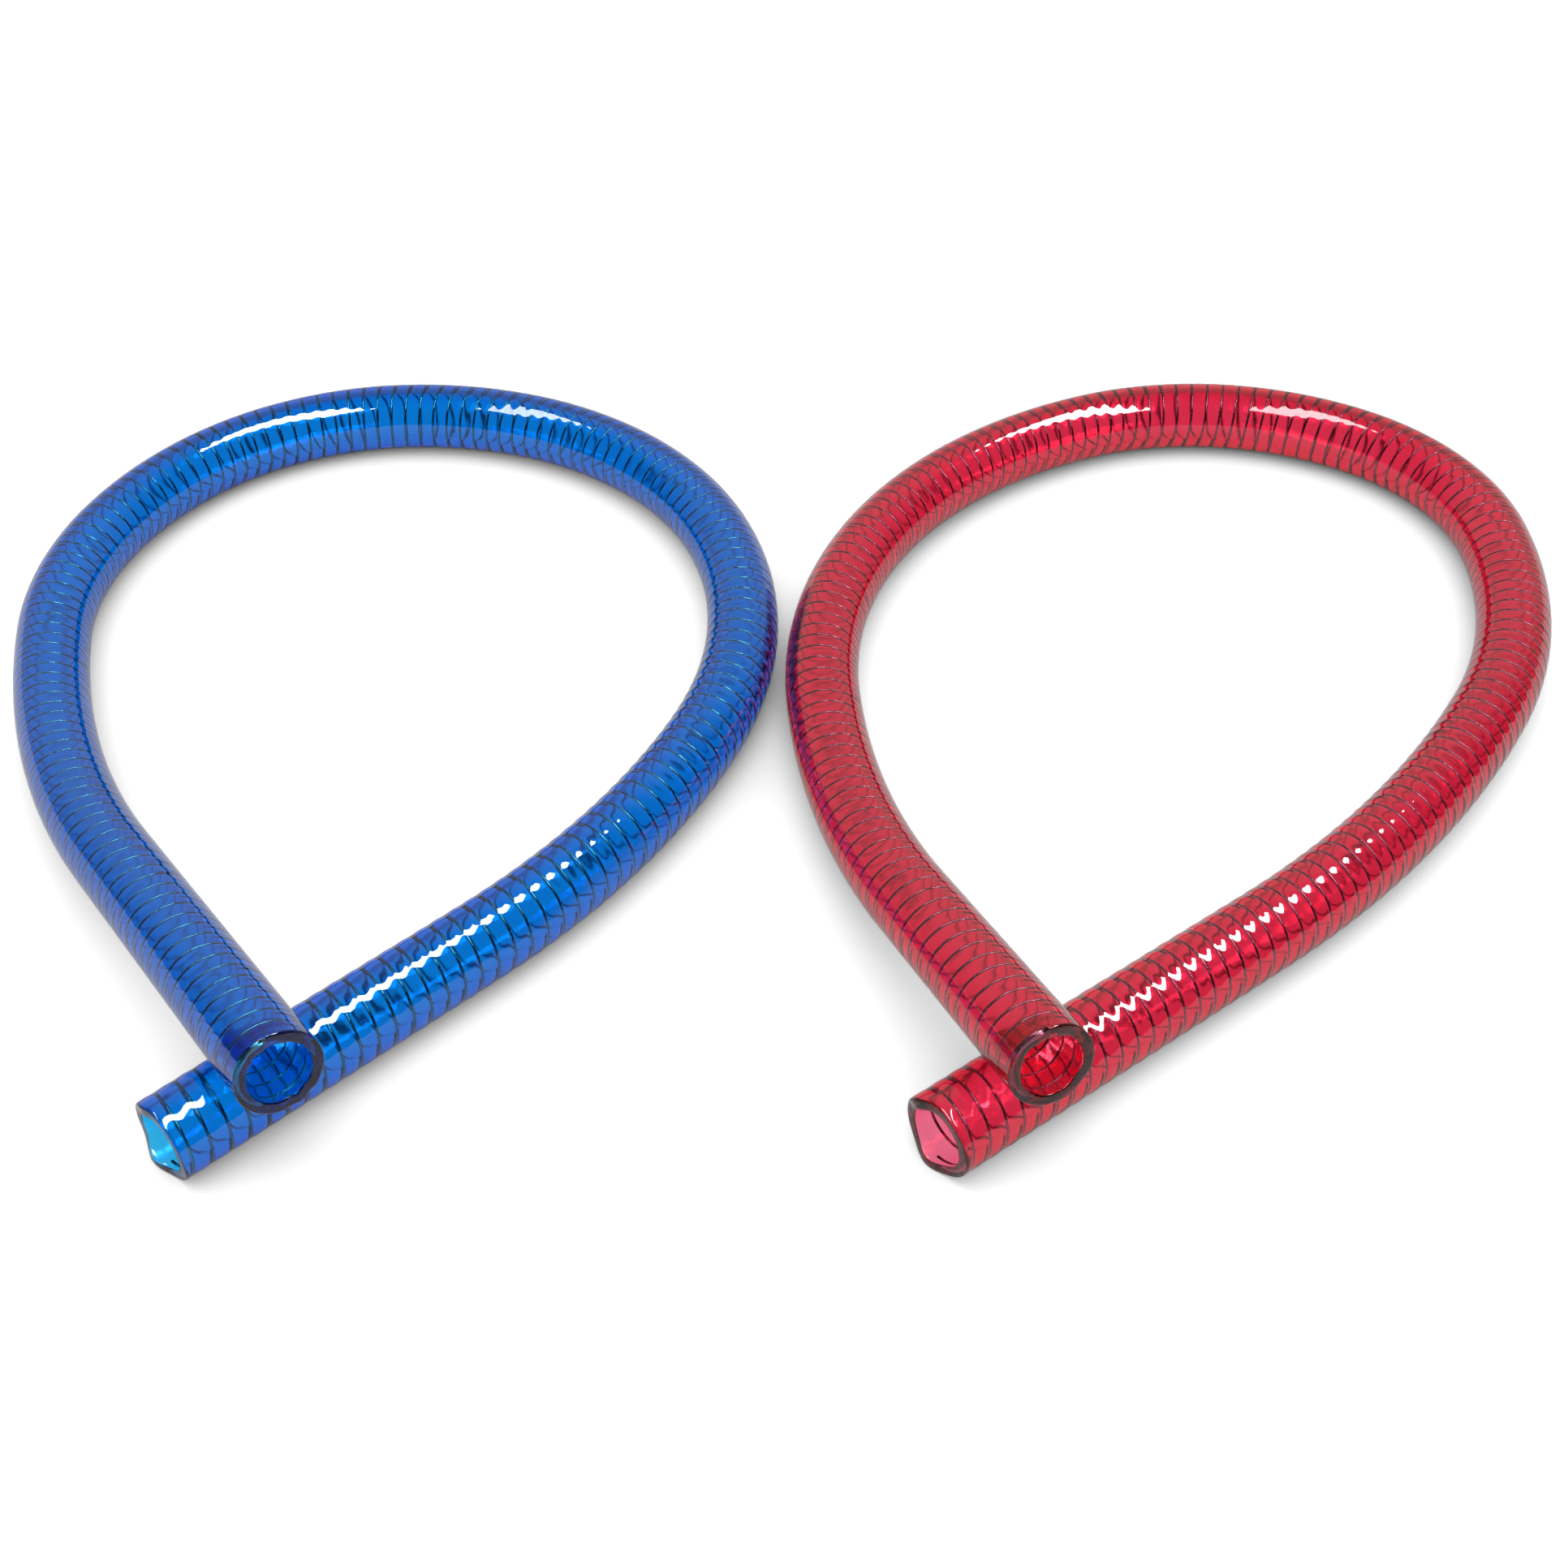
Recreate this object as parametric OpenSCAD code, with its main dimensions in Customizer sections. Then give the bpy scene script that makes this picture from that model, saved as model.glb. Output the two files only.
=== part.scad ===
// Hose pair for an immersion wort chiller: a blue hose for the cold water and a red one for the
// hot. Each is one cut length of clear hose with a steel wire wound inside its wall. It lies in
// a loop on a level surface, and its upper end rests across its own lower leg.

/* [Hose] */
// Outside diameter of both hoses
hose_od = 26; // [24:1:30]
// Bore, which slips over a hose barb
hose_bore = 19; // [12:1:20]
// Length that each hose is cut to
hose_length = 1000; // [970:5:1080]

/* [Wire] */
// Diameter of the steel wire inside the wall
wire_d = 1.1; // [0.8:0.1:1.4]
// Distance along the hose from one turn of the wire to the next
wire_pitch = 6.25; // [6:0.25:12]
// Distance from each cut end to the end of the wire
wire_inset = 1.5; // [1:0.5:5]

/* [Lay] */
// Gap between the walls where a hose crosses itself
lap_gap = 0.3; // [0.2:0.1:1]
// Gap between the two hoses where they lie nearest
hose_gap = 2; // [1:1:30]
// How much nearer the front the red hose's lower end lies than the blue one's
red_forward = 3; // [0:1:20]

/* [Hidden] */

// A hose's way from its lower end, seen from above. It starts with a straight run in the
// direction of its heading, then come level bends to the left, each [radius, angle]. The last
// bend, the climb, leans up out of the level, and a straight run ends the hose. The reach is
// the length of that last run from the climb to the crossing over the lower leg.
blue_heading = 42.5;
blue_run = 110;
blue_bends = [[280, 24], [160, 44], [140, 36], [135, 34], [110, 50], [130, 50]];
blue_climb = [310, 26];
blue_reach = 103;
red_heading = 36;
red_run = 130;
red_bends = [[385, 21], [180, 34], [90, 55], [115, 55], [175, 41], [175, 31]];
red_climb = [300, 22];
red_reach = 70;

// Fineness of the round shapes, and of the wire: its chords a turn and its flat sides
round_fn = 64;
bend_fn = 128;
wire_chords = 10;
wire_sides = 3;
// Angle cut off each bend so that it ends square to the next stretch
spare_angle = 2;
// How much thinner every other stretch is, so that the rims of two stretches never coincide
rim_step = 0.1;
// Length by which the bore's cutter passes each end of the hose
cut_past = 1;
// Spacing of the sections that the outline is measured at
survey_step = 2;

// The wire runs in the middle of the wall. Its corners stand out as far as its flats lie in,
// and its flat-sided section has the area of the round wire.
chord_half = 180 / wire_chords;
wire_ring = (hose_od + hose_bore) / 4 * 2 / (1 + cos(chord_half));
wire_corner = wire_d / 2 * sqrt(2 * PI / (wire_sides * sin(360 / wire_sides)));

// A stretch is a straight run, [length], or a bend to the left, [radius, angle, lean]
function is_run(stretch) = len(stretch) == 1;

function stretch_length(stretch) =
    is_run(stretch) ? stretch[0] : stretch[0] * stretch[1] * PI / 180;

function total(lengths, i = 0) = i < len(lengths) ? lengths[i] + total(lengths, i + 1) : 0;

// Lean of the climb that lifts the last run to lap_gap above the lower leg at the crossing.
// Both legs are hose_od thick, and the slope shortens the way straight across the gap.
function climb_lean(climb, reach) =
    let (
        climb_base = climb[0] * tan(climb[1] / 2) + reach,
        slope = asin(2 * (hose_od + lap_gap) / climb_base) / 2
    )
    asin(sin(slope) / sin(climb[1]));

function hose_route(run, bends, climb, reach) =
    let (
        shaped = concat(
            [[run]],
            [for (bend = bends) [bend[0], bend[1], 0]],
            [[climb[0], climb[1], climb_lean(climb, reach)]]
        ),
        used = total([for (stretch = shaped) stretch_length(stretch)])
    )
    concat(shaped, [[hose_length - used]]);

// The same way with both end runs longer by extra
function longer(route, extra) =
    let (last = len(route) - 1)
    [for (i = [0 : last]) i == 0 || i == last ? [route[i][0] + extra] : route[i]];

// Frames along a hose are 4 x 4 matrices: x is the way on, y is to the left and z is up
function shift_by(x, y) = [[1, 0, 0, x], [0, 1, 0, y], [0, 0, 1, 0], [0, 0, 0, 1]];

function turned(angle) =
    [[cos(angle), -sin(angle), 0, 0], [sin(angle), cos(angle), 0, 0], [0, 0, 1, 0], [0, 0, 0, 1]];

function leaned(angle) =
    [[1, 0, 0, 0], [0, cos(angle), -sin(angle), 0], [0, sin(angle), cos(angle), 0], [0, 0, 0, 1]];

function along(stretch, s) =
    is_run(stretch)
        ? shift_by(s, 0)
        : leaned(stretch[2]) * shift_by(0, stretch[0]) * turned(s / stretch[0] * 180 / PI)
            * shift_by(0, -stretch[0]) * leaned(-stretch[2]);

function frame_at(route, s, frame, i = 0) =
    let (own = stretch_length(route[i]))
    s <= own || i == len(route) - 1
        ? frame * along(route[i], s)
        : frame_at(route, s - own, frame * along(route[i], own), i + 1);

// How far a hose's outline goes in the direction [x, y]: each section is a disc across the hose
function outline(frames, direction) =
    max([for (frame = frames)
        let (ahead = frame[0][0] * direction.x + frame[1][0] * direction.y)
        frame[0][3] * direction.x + frame[1][3] * direction.y
            + hose_od / 2 * sqrt(max(0, 1 - ahead * ahead))]);

blue_route = hose_route(blue_run, blue_bends, blue_climb, blue_reach);
red_route = hose_route(red_run, red_bends, red_climb, red_reach);

blue_frames = [for (s = [0 : survey_step : hose_length]) frame_at(blue_route, s, turned(blue_heading))];
red_frames = [for (s = [0 : survey_step : hose_length]) frame_at(red_route, s, turned(red_heading))];

// The hoses lie side by side along X, and the origin is under the middle of the pair
blue_right = outline(blue_frames, [1, 0]);
red_left = outline(red_frames, [-1, 0]);
pair_right = hose_gap + red_left + outline(red_frames, [1, 0]);
pair_left = blue_right + outline(blue_frames, [-1, 0]);
pair_back = max(outline(blue_frames, [0, 1]), outline(red_frames, [0, 1]) - red_forward);
pair_front = max(outline(blue_frames, [0, -1]), outline(red_frames, [0, -1]) + red_forward);
middle = [(pair_right - pair_left) / 2, (pair_back - pair_front) / 2];
blue_start = [-blue_right, 0] - middle;
red_start = [hose_gap + red_left, -red_forward] - middle;

// Solid rod along one stretch, from the origin towards +X
module rod_stretch(stretch, d) {
    if (is_run(stretch)) {
        rotate([0, 90, 0]) cylinder(h = stretch[0], d = d, $fn = round_fn);
    } else {
        rotate([stretch[2], 0, 0]) translate([0, stretch[0], 0]) rotate([0, 0, -90]) difference() {
            rotate_extrude(angle = stretch[1] + spare_angle, $fn = bend_fn)
                translate([stretch[0], 0]) circle(d = d, $fn = round_fn);
            rotate([0, 0, stretch[1]]) translate([stretch[0] - d, 0, -d]) cube(2 * d);
        }
    }
}

// Moves what follows to the end of a stretch
module beyond(stretch) {
    if (is_run(stretch)) {
        translate([stretch[0], 0, 0]) children();
    } else {
        rotate([stretch[2], 0, 0]) translate([0, stretch[0], 0]) rotate([0, 0, -90])
            rotate([0, 0, stretch[1]]) rotate([0, 0, 90]) translate([0, -stretch[0], 0])
            rotate([-stretch[2], 0, 0]) children();
    }
}

// Solid rod along the whole way, of diameter d at both ends
module rod(route, d, i = 0) {
    if (i < len(route)) {
        rod_stretch(route[i], i % 2 == 0 ? d : d - rim_step);
        beyond(route[i]) rod(route, d, i + 1);
    }
}

// Clear wall with its bore open at both ends
module hose_wall(route) {
    difference() {
        rod(route, hose_od);
        translate([-cut_past, 0, 0]) rod(longer(route, cut_past), hose_bore);
    }
}

// Corners of the wire's section at distance s: a left-hand spiral round the hose's own line
function wire_section(route, s) =
    let (frame = frame_at(route, s, turned(0)), round = -360 * s / wire_pitch)
    [for (side = [0 : wire_sides - 1])
        let (
            corner = 360 * side / wire_sides,
            out = wire_ring + wire_corner * cos(corner),
            point = frame * [wire_corner * sin(corner), out * cos(round), out * sin(round), 1]
        )
        [point.x, point.y, point.z]];

// Steel wire spiral, swept section by section from one end of the hose to the other
module hose_wire(route) {
    steps = floor((hose_length - 2 * wire_inset) * wire_chords / wire_pitch);
    spacing = wire_pitch / wire_chords;
    points = [for (i = [0 : steps]) each wire_section(route, wire_inset + i * spacing)];
    skin = [for (i = [0 : steps - 1], side = [0 : wire_sides - 1])
        let (here = i * wire_sides, next = here + wire_sides, after = (side + 1) % wire_sides)
        each [[here + side, here + after, next + after], [here + side, next + after, next + side]]];
    first_cap = [for (side = [wire_sides - 1 : -1 : 0]) side];
    last_cap = [for (side = [0 : wire_sides - 1]) steps * wire_sides + side];
    polyhedron(points, concat([first_cap], skin, [last_cap]));
}

// Sets a hose down on the surface with its lower end at start
module laid(start, heading) {
    translate([start.x, start.y, hose_od / 2]) rotate([0, 0, heading]) children();
}

module blue_hose_wall() {
    color("dodgerblue", 0.6) laid(blue_start, blue_heading) hose_wall(blue_route);
}

module blue_hose_wire() {
    color("silver") laid(blue_start, blue_heading) hose_wire(blue_route);
}

module red_hose_wall() {
    color("crimson", 0.6) laid(red_start, red_heading) hose_wall(red_route);
}

module red_hose_wire() {
    color("silver") laid(red_start, red_heading) hose_wire(red_route);
}

blue_hose_wall();
blue_hose_wire();
red_hose_wall();
red_hose_wire();
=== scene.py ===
from math import radians

import bpy
import numpy as np
from mathutils import Matrix


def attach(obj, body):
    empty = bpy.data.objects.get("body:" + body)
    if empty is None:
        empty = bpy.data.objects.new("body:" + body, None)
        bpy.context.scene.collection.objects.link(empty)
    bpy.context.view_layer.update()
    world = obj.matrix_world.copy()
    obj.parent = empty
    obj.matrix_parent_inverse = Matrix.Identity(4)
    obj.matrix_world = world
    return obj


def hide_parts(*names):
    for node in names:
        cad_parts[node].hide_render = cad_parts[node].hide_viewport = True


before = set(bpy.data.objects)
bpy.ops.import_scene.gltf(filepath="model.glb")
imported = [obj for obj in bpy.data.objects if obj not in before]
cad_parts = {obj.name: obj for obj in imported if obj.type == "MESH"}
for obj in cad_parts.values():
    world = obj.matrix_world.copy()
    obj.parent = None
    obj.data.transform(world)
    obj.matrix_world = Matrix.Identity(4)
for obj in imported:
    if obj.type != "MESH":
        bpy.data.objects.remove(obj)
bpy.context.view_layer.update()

# ---------------------------------------------------------------------------------------------
# Camera
# It stands in front of the pair, about half a metre above the floor, and looks down at the
# loops. Its place is in metres, and its tilt starts from straight down.
# ---------------------------------------------------------------------------------------------
CAMERA_PLACE = (-0.0021, -0.5457, 0.4644)
CAMERA_TILT = radians(48)
CAMERA_ROLL = radians(-1)

camera_data = bpy.data.cameras.new("camera")
camera_data.sensor_width = 36
camera_data.lens = 46.58
camera = bpy.data.objects.new("camera", camera_data)
bpy.context.scene.collection.objects.link(camera)
camera.matrix_world = (
    Matrix.Translation(CAMERA_PLACE)
    @ Matrix.Rotation(CAMERA_TILT, 4, "X")
    @ Matrix.Rotation(CAMERA_ROLL, 4, "Z")
)
bpy.context.scene.camera = camera

# ---------------------------------------------------------------------------------------------
# Blue hose, for the cold water
# A cut length of wire-reinforced hose: soft clear vinyl, tinted blue in the melt and extruded
# over a spiral of spring wire. It cools a little narrower over each turn of the wire. It lies
# in a loop, and its upper end rests across its own lower leg.
# ---------------------------------------------------------------------------------------------
MM = 0.001
HOSE_RADIUS = 13 * MM
BORE_RADIUS = 9.5 * MM
HOSE_LENGTH = 1000 * MM
WIRE_PITCH = 6.25 * MM
# The wire stops this far short of each cut face.
WIRE_INSET = 1.5 * MM

# The middle of the lower end, and its direction in degrees from X.
BLUE_START = (-178.08 * MM, -189.28 * MM, HOSE_RADIUS)
BLUE_HEADING = 42.5
# From the lower end: a straight run, [length], then bends to the left, [radius, angle, lean],
# in millimetres and degrees. The last bend leans, so that the upper end climbs over the lower
# leg and clears it by 0.3 mm. The last run is what is left of the hose.
BLUE_ROUTE = [
    [110],
    [280, 24, 0], [160, 44, 0], [140, 36, 0], [135, 34, 0], [110, 50, 0], [130, 50, 0],
    [310, 26, 20.349],
    [132],
]
# Where the lower end is cut ragged: [reach, at, spread], as hose_wall takes them.
BLUE_LIP = [[2.4, 292, 30], [0.8, 65, 20]]


def lay_hose(start, heading, route, distances):
    """Points on a hose's middle line at distances from its lower end, with the directions on,
    left and up there. A run keeps its directions. On a bend of radius R, after an angle t, the
    point lies R sin t on and R (1 - cos t) to the left, where left is first leaned up."""
    s = np.asarray(distances, float)
    shape = s.shape + (3,)
    point, on, left, up = (np.zeros(shape) for _ in range(4))
    turn = radians(heading)
    here = [
        np.array(start, float),
        np.array([np.cos(turn), np.sin(turn), 0.0]),
        np.array([-np.sin(turn), np.cos(turn), 0.0]),
        np.array([0.0, 0.0, 1.0]),
    ]

    def ahead(stretch, t):
        """The point and the three directions at a distance t along a stretch from here."""
        p, f, l, u = here
        if len(stretch) == 1:
            return p + f * t, f + 0 * t, l + 0 * t, u + 0 * t
        radius, lean = stretch[0] * MM, radians(stretch[2])
        side = l * np.cos(lean) + u * np.sin(lean)
        top = u * np.cos(lean) - l * np.sin(lean)
        angle = t / radius
        inward = side * np.cos(angle) - f * np.sin(angle)
        return (
            p + f * radius * np.sin(angle) + side * radius * (1 - np.cos(angle)),
            f * np.cos(angle) + side * np.sin(angle),
            inward * np.cos(lean) - top * np.sin(lean),
            inward * np.sin(lean) + top * np.cos(lean),
        )

    passed = 0.0
    for number, stretch in enumerate(route):
        own = stretch[0] * MM * (1 if len(stretch) == 1 else radians(stretch[1]))
        last = number == len(route) - 1
        # The first stretch also takes what lies before the lower end, and the last what lies
        # past the upper one.
        mine = (s >= passed if number else s > -np.inf) & ((s < passed + own) | last)
        parts = ahead(stretch, (s[mine] - passed)[..., None])
        for whole, part in zip((point, on, left, up), parts):
            whole[mine] = part
        here = [part.reshape(3) for part in ahead(stretch, np.array([own]))]
        passed += own
    return point, on, left, up


def around_hose(laid, angle, radius):
    """Points at radius from the middle line, at angle from left, turning towards up."""
    point, _, left, up = laid
    out = left * np.cos(angle)[..., None] + up * np.sin(angle)[..., None]
    return point + radius[..., None] * out


def skin(name, points, closed_rows, caps=False):
    """A mesh over a grid of points [row, column]. The columns close, and the rows too if asked;
    otherwise caps close both ends. Faces turn outwards when the rows go on and the columns turn
    from left to up."""
    rows, columns = points.shape[:2]
    corner = np.arange(rows * columns).reshape(rows, columns)
    beside = np.roll(corner, -1, axis=1)
    after, after_beside = np.roll(corner, -1, axis=0), np.roll(beside, -1, axis=0)
    quads = np.stack([corner, beside, after_beside, after], axis=-1)
    faces = quads[: rows if closed_rows else rows - 1].reshape(-1, 4).tolist()
    if caps:
        faces += [corner[0][::-1].tolist(), corner[-1].tolist()]
    mesh = bpy.data.meshes.new(name)
    mesh.from_pydata(points.reshape(-1, 3), [], faces)
    mesh.shade_smooth()
    made = bpy.data.objects.new(name, mesh)
    bpy.context.scene.collection.objects.link(made)
    return made


def hose_wall(name, start, heading, route, seed, lip):
    """The wall is one skin: along the outside from the lower end to the upper, over the cut
    face, and back through the bore. Outside, the radius is HOSE_RADIUS less a groove over the
    wire, groove * (1 + cos p) / 2, where p is the angle round the hose from the wire. Sums of
    waves with random directions stand for the unevenness of the vinyl and of the knife. Each
    [reach, at, spread] of the lip lets the lower end reach out by
    reach * exp(-((angle - at) / spread) ** 2), in millimetres and degrees."""
    rng = np.random.default_rng(seed)
    around = 40
    outside_steps = 1200
    inside_steps = 1200
    # The skin's last row before each cut face. From there the edge is broken.
    edge = 0.25 * MM
    angle = np.linspace(0, 2 * np.pi, around, endpoint=False)[None, :]

    def waves(count, lengths, s, a):
        """The sum of sin(2 pi s / length + k a + phase) over the root of count. Each length is
        drawn between lengths, in millimetres, each k is whole, and each phase is any."""
        total = 0.0
        for _ in range(count):
            along = 2 * np.pi / (rng.uniform(*lengths) * MM)
            total = total + np.sin(along * s + rng.integers(-4, 5) * a + rng.uniform(0, 6.3))
        return total / np.sqrt(count)

    outside = np.linspace(edge, HOSE_LENGTH - edge, outside_steps)[:, None]
    inside = np.linspace(HOSE_LENGTH - edge, edge, inside_steps)[:, None]

    # The groove is 0.17 mm deep up to 230 mm from the lower end. From there it fades, by
    # t * t * (3 - 2 * t), to 0.04 mm at 380 mm, which is in the loop.
    shallow, deeper = 0.04, 0.13
    fade_end, fade_length = 380 * MM, 150 * MM
    near_end = np.clip((fade_end - outside) / fade_length, 0, 1)
    groove = (shallow + deeper * near_end * near_end * (3 - 2 * near_end)) * MM
    from_wire = angle + 2 * np.pi * outside / WIRE_PITCH
    dip = (1 + np.cos(from_wire)) / 2
    sag = 0.02 * MM
    outer = HOSE_RADIUS - groove * dip - sag * (1 + waves(6, (14, 45), outside, angle) / 2)

    # The bore swells a little at each turn of the wire, and ripples between them.
    swell, ripple = 0.02 * MM, 0.026 * MM
    inner_wire = angle + 2 * np.pi * inside / WIRE_PITCH
    inner = (
        BORE_RADIUS
        + swell * np.cos(inner_wire)
        + ripple * waves(14, (3, 9), inside, angle)
    )

    # How far the knife strays round each end. It waves round the hose only, so its lengths
    # don't matter.
    lower_stray, upper_stray = 0.15, 0.5
    cut = [
        depth * MM * waves(3, (900, 1000), 0 * angle, k * angle)
        for k, depth in ((1, lower_stray), (2, upper_stray))
    ]

    # Rings on a cut face, from the broken outer edge to the broken inner one.
    rim_radii = np.array([
        HOSE_RADIUS - 0.35 * MM, HOSE_RADIUS - 1.2 * MM, BORE_RADIUS + 1 * MM,
        BORE_RADIUS + 0.15 * MM,
    ])
    rim_rows = len(rim_radii)
    rim = rim_radii[:, None] + 0 * angle
    near = np.zeros((rim_rows, 1)) + 0 * angle
    distance = np.vstack([outside + 0 * angle, HOSE_LENGTH - near, inside + 0 * angle, near])
    radius = np.vstack([outer, rim, inner, rim[::-1]])

    # The knife's unevenness fades out over the first 6 mm from each end.
    fade = 6 * MM
    low = np.clip(1 - distance / fade, 0, 1)
    high = np.clip(1 - (HOSE_LENGTH - distance) / fade, 0, 1)
    off = [
        np.angle(np.exp(1j * (angle - radians(at)))) / radians(spread) for _, at, spread in lip
    ]
    lip_reach = sum(reach * MM * np.exp(-x**2) for (reach, _, _), x in zip(lip, off))
    distance = distance + low * (np.abs(cut[0]) - lip_reach) - high * np.abs(cut[1])
    angles = angle + 0 * distance
    made = skin(name, around_hose(lay_hose(start, heading, route, distance), angles, radius), True)

    # Which points lie on a cut face, and which in the bore, for the vinyl's roughness.
    face = np.zeros(distance.shape, np.float32)
    face[outside_steps:outside_steps + rim_rows] = 1
    face[-rim_rows:] = 1
    made.data.attributes.new("cut", "FLOAT", "POINT").data.foreach_set("value", face.ravel())
    bore = np.zeros(distance.shape, np.float32)
    bore[outside_steps + rim_rows:-rim_rows] = 1
    made.data.attributes.new("bore", "FLOAT", "POINT").data.foreach_set("value", bore.ravel())
    return made


def hose_wire(name, start, heading, route):
    """A round wire of radius wire_radius along a left-hand spiral: its middle lies wire_ring
    from the hose's middle line, turned back by a full turn every WIRE_PITCH."""
    wire_radius = 0.45 * MM
    wire_ring = 11.25 * MM
    turn_steps = 24
    sides = 8
    s = np.arange(WIRE_INSET, HOSE_LENGTH - WIRE_INSET, WIRE_PITCH / turn_steps)
    spiral = around_hose(
        lay_hose(start, heading, route, s), -2 * np.pi * s / WIRE_PITCH, wire_ring + 0 * s
    )
    middle = lay_hose(start, heading, route, s)[0]
    on = np.gradient(spiral, axis=0)
    on /= np.linalg.norm(on, axis=1, keepdims=True)
    out = spiral - middle
    out -= (out * on).sum(1, keepdims=True) * on
    out /= np.linalg.norm(out, axis=1, keepdims=True)
    across = np.cross(on, out)
    turn = np.linspace(0, 2 * np.pi, sides, endpoint=False)[None, :, None]
    points = spiral[:, None] + wire_radius * (
        out[:, None] * np.cos(turn) + across[:, None] * np.sin(turn)
    )
    return skin(name, points, False, caps=True)


def linear(colour):
    """sRGB hex to linear: c / 12.92 up to 0.04045, and ((c + 0.055) / 1.055) ** 2.4 above it."""
    c = np.array([int(colour[i : i + 2], 16) for i in (1, 3, 5)]) / 255
    value = np.where(c <= 0.04045, c / 12.92, ((c + 0.055) / 1.055) ** 2.4)
    return (*value.tolist(), 1.0)


def add(tree, kind, inputs=None, **settings):
    """Adds a node with its settings. An input is a value, or the socket that feeds it."""
    made = tree.nodes.new(kind)
    for name, value in settings.items():
        setattr(made, name, value)
    for name, value in (inputs or {}).items():
        if isinstance(value, bpy.types.NodeSocket):
            tree.links.new(value, made.inputs[name])
        else:
            made.inputs[name].default_value = value
    return made


def tinted_vinyl(name, tint, density):
    """Clear plasticised PVC, coloured in the melt: the colour is in its depth, so thin places
    are pale and the long way through a cut face is dark. The extruded skin is glossy, the bore
    is duller, which softens the turns of wire behind it, and the cut faces have fine
    scratches."""
    material = bpy.data.materials.new(name)
    material.use_nodes = True
    tree = material.node_tree
    tree.nodes.clear()
    cut = add(tree, "ShaderNodeAttribute", attribute_name="cut")
    place = add(tree, "ShaderNodeTexCoord")
    # The knife leaves scratches about 0.4 mm apart, which is 2500 to the metre.
    scratch = add(tree, "ShaderNodeTexNoise", {
        "Vector": place.outputs["Object"], "Scale": 2500.0, "Detail": 3.0,
    })
    deep = add(tree, "ShaderNodeMapRange", {
        "Value": scratch.outputs["Fac"], "From Min": 0.55, "From Max": 0.75,
        "To Min": 0.08, "To Max": 0.35,
    })
    skin_rough, bore_rough = 0.015, 0.12
    knifed = add(tree, "ShaderNodeMath", {
        0: cut.outputs["Fac"], 1: deep.outputs["Result"], 2: skin_rough,
    }, operation="MULTIPLY_ADD")
    bore = add(tree, "ShaderNodeAttribute", attribute_name="bore")
    rough = add(tree, "ShaderNodeMath", {
        0: bore.outputs["Fac"], 1: bore_rough, 2: knifed.outputs[0],
    }, operation="MULTIPLY_ADD")
    shader = add(tree, "ShaderNodeBsdfPrincipled", {
        "Base Color": (1.0, 1.0, 1.0, 1.0), "Transmission Weight": 1.0, "IOR": 1.53,
        "Roughness": rough.outputs[0],
    })
    # The floor sees the hose as a plain grey body, so that its shadow there is soft and grey.
    ray = add(tree, "ShaderNodeLightPath")
    body = add(tree, "ShaderNodeBsdfDiffuse", {"Color": linear("#5E5E5E")})
    seen = add(tree, "ShaderNodeMixShader", {
        0: ray.outputs["Is Diffuse Ray"], 1: shader.outputs[0], 2: body.outputs[0],
    })
    depth = add(tree, "ShaderNodeVolumeAbsorption", {"Color": linear(tint), "Density": density})
    add(tree, "ShaderNodeOutputMaterial", {
        "Surface": seen.outputs[0], "Volume": depth.outputs[0],
    })
    return material


def spring_steel(name):
    """Bright drawn spring steel wire. The die leaves it smooth, with patches about 1.1 mm long
    that shine a little less."""
    material = bpy.data.materials.new(name)
    material.use_nodes = True
    tree = material.node_tree
    tree.nodes.clear()
    place = add(tree, "ShaderNodeTexCoord")
    draw = add(tree, "ShaderNodeTexNoise", {"Vector": place.outputs["Object"], "Scale": 900.0})
    rough = add(tree, "ShaderNodeMapRange", {
        "Value": draw.outputs["Fac"], "To Min": 0.18, "To Max": 0.34,
    })
    shader = add(tree, "ShaderNodeBsdfPrincipled", {
        "Base Color": linear("#A8ABAE"), "Metallic": 1.0, "Roughness": rough.outputs[0],
    })
    add(tree, "ShaderNodeOutputMaterial", {"Surface": shader.outputs[0]})
    return material


def finish_hose(colour, start, heading, route, seed, lip, vinyl, steel):
    """Makes one hose and puts it in the place of its solids."""
    wall = hose_wall(f"{colour}_vinyl", start, heading, route, seed, lip)
    wall.data.materials.append(vinyl)
    wire = hose_wire(f"{colour}_spring_wire", start, heading, route)
    wire.data.materials.append(steel)
    for piece, node, slot in ((wall, "wall", f"{colour}_wall"), (wire, "wire", "wire")):
        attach(piece, f"{colour}_hose")
        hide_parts(f"{colour}_hose_{node}")
    path = lay_hose(start, heading, route, np.linspace(0, HOSE_LENGTH, 41))[0]
    return wall, wire


steel = spring_steel("spring_steel_wire")
blue_vinyl = tinted_vinyl("blue_clear_vinyl", tint="#00E4FA", density=1010.0)
blue_hose = finish_hose(
    "blue", BLUE_START, BLUE_HEADING, BLUE_ROUTE, seed=11, lip=BLUE_LIP,
    vinyl=blue_vinyl, steel=steel,
)

# ---------------------------------------------------------------------------------------------
# Red hose, for the hot water
# The same hose of clear vinyl over spring wire, tinted red in the melt. It is cut to the same
# length and laid in a loop beside the blue one.
# ---------------------------------------------------------------------------------------------
RED_START = (38.59 * MM, -192.28 * MM, HOSE_RADIUS)
RED_HEADING = 36
RED_ROUTE = [
    [130],
    [385, 21, 0], [180, 34, 0], [90, 55, 0], [115, 55, 0], [175, 41, 0], [175, 31, 0],
    [300, 22, 34.027],
    [90],
]
RED_LIP = [[1.9, 280, 28], [2.2, 50, 25]]

red_vinyl = tinted_vinyl("red_clear_vinyl", tint="#FBB7CF", density=960.0)
red_hose = finish_hose(
    "red", RED_START, RED_HEADING, RED_ROUTE, seed=23, lip=RED_LIP,
    vinyl=red_vinyl, steel=steel,
)

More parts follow.
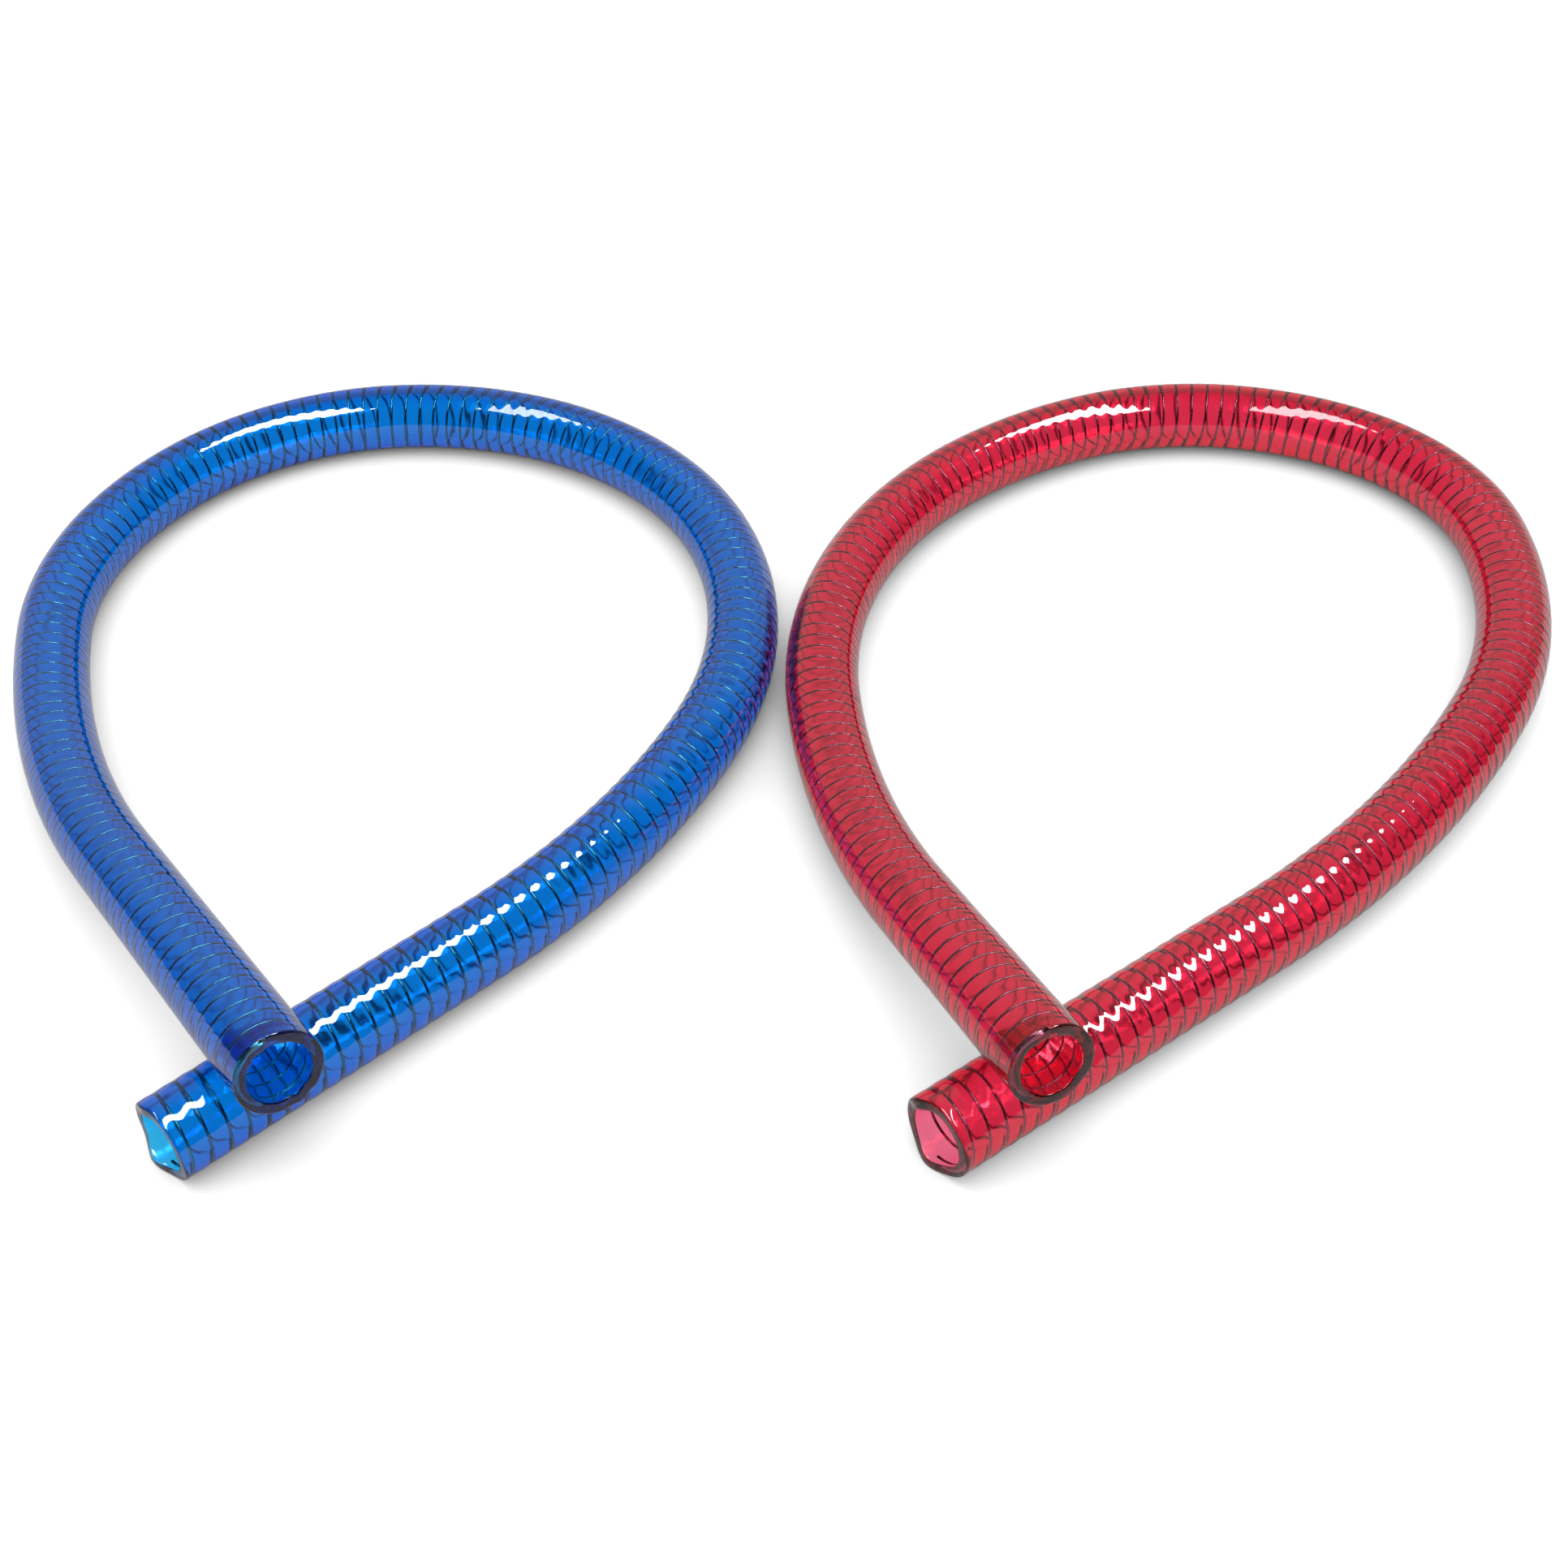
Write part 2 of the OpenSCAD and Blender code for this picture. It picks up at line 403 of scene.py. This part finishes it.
# ---------------------------------------------------------------------------------------------
# Floor and light
# A white studio sweep under an even sky, a broad soft lamp overhead, and two strip lamps for
# each hose that show only as highlights.
# ---------------------------------------------------------------------------------------------
floor_mesh = bpy.data.meshes.new("floor")
reach = 4.0
floor_mesh.from_pydata(
    [(-reach, -reach, 0), (reach, -reach, 0), (reach, reach, 0), (-reach, reach, 0)],
    [],
    [(0, 1, 2, 3)],
)
floor = bpy.data.objects.new("floor", floor_mesh)
bpy.context.scene.collection.objects.link(floor)

paper = bpy.data.materials.new("white_studio_paper")
paper.use_nodes = True
tree = paper.node_tree
tree.nodes.clear()
ray = add(tree, "ShaderNodeLightPath")
# Seen directly, the paper is bright enough to be plain white outside the hose's own shadow.
lighting_paper, seen_paper = 0.9, 1.6
shade = add(tree, "ShaderNodeMapRange", {
    "Value": ray.outputs["Is Camera Ray"], "To Min": lighting_paper, "To Max": seen_paper,
})
direct = add(tree, "ShaderNodeBsdfDiffuse", {"Color": shade.outputs["Result"]})
# Seen through the vinyl, most of it is plain white.
plain_share = 0.9
glow = add(tree, "ShaderNodeEmission", {"Color": (1, 1, 1, 1), "Strength": 1.0})
share = add(tree, "ShaderNodeMath", {
    0: ray.outputs["Is Transmission Ray"], 1: plain_share,
}, operation="MULTIPLY")
both = add(tree, "ShaderNodeMixShader", {
    0: share.outputs[0], 1: direct.outputs[0], 2: glow.outputs[0],
})
add(tree, "ShaderNodeOutputMaterial", {"Surface": both.outputs[0]})
floor_mesh.materials.append(paper)

world = bpy.data.worlds.new("studio")
world.use_nodes = True
bpy.context.scene.world = world
tree = world.node_tree
tree.nodes.clear()
ray = add(tree, "ShaderNodeLightPath")
direction = add(tree, "ShaderNodeTexCoord")
facing = add(tree, "ShaderNodeSeparateXYZ", {"Vector": direction.outputs["Generated"]})
# The gloss and the vinyl see a dark studio with a white wall behind the hoses, which edges each
# wire with light. Y is 1 straight behind them. The camera sees plain white.
dark_studio, white_wall, even_sky, plain_white = 0.04, 0.55, 0.85, 1.0
dark = add(tree, "ShaderNodeMapRange", {
    "Value": facing.outputs["Y"], "From Min": 0.2, "From Max": 0.8,
    "To Min": dark_studio, "To Max": white_wall,
}, interpolation_type="SMOOTHSTEP")
fill = add(tree, "ShaderNodeMix", {
    "Factor": ray.outputs["Is Diffuse Ray"], "A": dark.outputs[0], "B": even_sky,
})
level = add(tree, "ShaderNodeMix", {
    "Factor": ray.outputs["Is Camera Ray"], "A": fill.outputs["Result"], "B": plain_white,
})
sky = add(tree, "ShaderNodeBackground", {
    "Color": (1, 1, 1, 1), "Strength": level.outputs["Result"],
})
add(tree, "ShaderNodeOutputWorld", {"Surface": sky.outputs[0]})


def lamp(name, place, width, length, radiance, turn=0.0):
    """A rectangular soft lamp that faces the floor. Its power is radiance * pi * its area."""
    data = bpy.data.lights.new(name, "AREA")
    data.shape = "RECTANGLE"
    data.size, data.size_y = width, length
    data.energy = radiance * np.pi * width * length
    made = bpy.data.objects.new(name, data)
    made.location = place
    made.rotation_euler = (0, 0, radians(turn))
    bpy.context.scene.collection.objects.link(made)
    return made


soft = lamp("overhead_soft_lamp", (0.1, -0.3, 2.6), width=2.0, length=1.6, radiance=0.8)
soft.visible_glossy = soft.visible_transmission = False

# Each hose has its own two strips, so that both show the same highlights. A strip is
# (x, y, width, length, radiance, turn), in metres and degrees.
STRIP_HEIGHT = 3.0
BLUE_STRIPS = ((0.46, -0.21, 0.80, 2.6, 24.0, -11), (-1.66, 0.30, 0.50, 2.2, 14.0, -10))
RED_STRIPS = ((1.71, 0.00, 0.60, 3.1, 24.0, 4), (-0.37, -0.35, 0.65, 2.3, 14.0, -3))
for colour, pieces, strips in (("blue", blue_hose, BLUE_STRIPS), ("red", red_hose, RED_STRIPS)):
    lit_hose = bpy.data.collections.new(f"{colour}_hose_in_strip_light")
    for piece in pieces:
        lit_hose.objects.link(piece)
    for number, (x, y, width, length, radiance, turn) in enumerate(strips):
        strip = lamp(f"{colour}_strip_{number}", (x, y, STRIP_HEIGHT), width, length, radiance, turn)
        strip.visible_diffuse = False
        strip.light_linking.receiver_collection = lit_hose

scene = bpy.context.scene
scene.view_settings.view_transform = "Standard"
